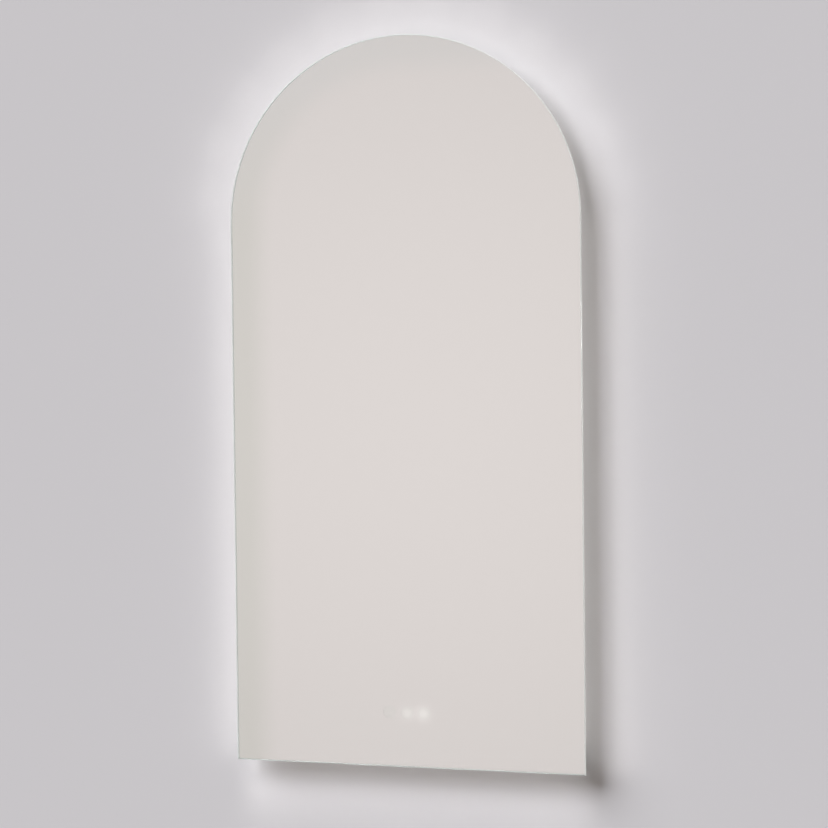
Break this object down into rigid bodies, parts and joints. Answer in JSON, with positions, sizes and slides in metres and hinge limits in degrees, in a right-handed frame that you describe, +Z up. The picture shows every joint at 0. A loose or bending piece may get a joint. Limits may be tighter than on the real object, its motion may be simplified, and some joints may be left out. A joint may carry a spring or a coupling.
{
  "type": "lighted bathroom mirror",
  "caption": "Frameless arched wall mirror, lit from behind by a strip in a channel frame, with a heater film and a touch switch, hung on a lift-off rail.",
  "frame": {"origin": "on the wall plane, midway between the two screw holes of the wall rail", "axes": "+X to the right seen from the front, +Y into the wall (the mirror faces -Y), +Z up"},
  "size_m": [0.6, 0.04, 1.1999],
  "materials": {
    "glass": "polished clear float glass, 5 mm, with a ground and polished edge",
    "silver": "silver layer",
    "paint": "grey backing paint",
    "foam": "closed cell foam tape",
    "extrusion": "satin mill finish",
    "zinc": "galvanised sheet",
    "screws": "bright zinc",
    "strip": "white flexible circuit",
    "chips": "phosphor light sources",
    "opal": "opal diffuser",
    "film": "amber heater film",
    "trace": "printed silver trace",
    "white": "moulded white plastic",
    "black": "moulded black plastic",
    "board": "green circuit board",
    "core": "wound transformer",
    "can": "sleeved capacitor",
    "socket": "plug sockets",
    "terminal": "terminal block",
    "lever": "orange terminal levers",
    "rubber": "black rubber",
    "lens": "frosted lens"
  },
  "bodies": {
    "wall_mount": {"wall_rail": "zinc"},
    "mirror": {"mirror_glass": "glass", "silver_coat": "silver", "backing_paint": "paint", "frame_tape": "foam", "frame_arch": "extrusion", "frame_foot": "extrusion", "corner_key_left": "zinc", "corner_key_right": "zinc", "light_strip_arch": "strip", "light_strip_foot": "strip", "light_chips": "chips", "diffuser_arch": "opal", "diffuser_foot": "opal", "hanger_rail": "zinc", "hanger_screws": "screws", "wall_buffers": "rubber", "heater_film": "film", "heater_trace": "trace", "heater_terminal": "white", "gear_tray": "zinc", "gear_tape": "foam", "driver_case": "white", "driver_lid": "white", "driver_board": "board", "driver_transformer": "core", "driver_capacitor": "can", "output_socket": "socket", "input_socket": "socket", "driver_screws": "screws", "junction_box": "white", "junction_lid": "white", "terminal_block": "terminal", "terminal_levers": "lever", "touch_tape": "foam", "touch_housing": "black", "touch_board": "board", "touch_lamps": "chips", "touch_lens": "lens", "touch_cover": "black"}
  },
  "joints": [
    {"name": "lift_off", "type": "slide", "parent": "wall_mount", "child": "mirror", "axis": [0, 0, 1], "range_m": [0, 0.016]}
  ]
}
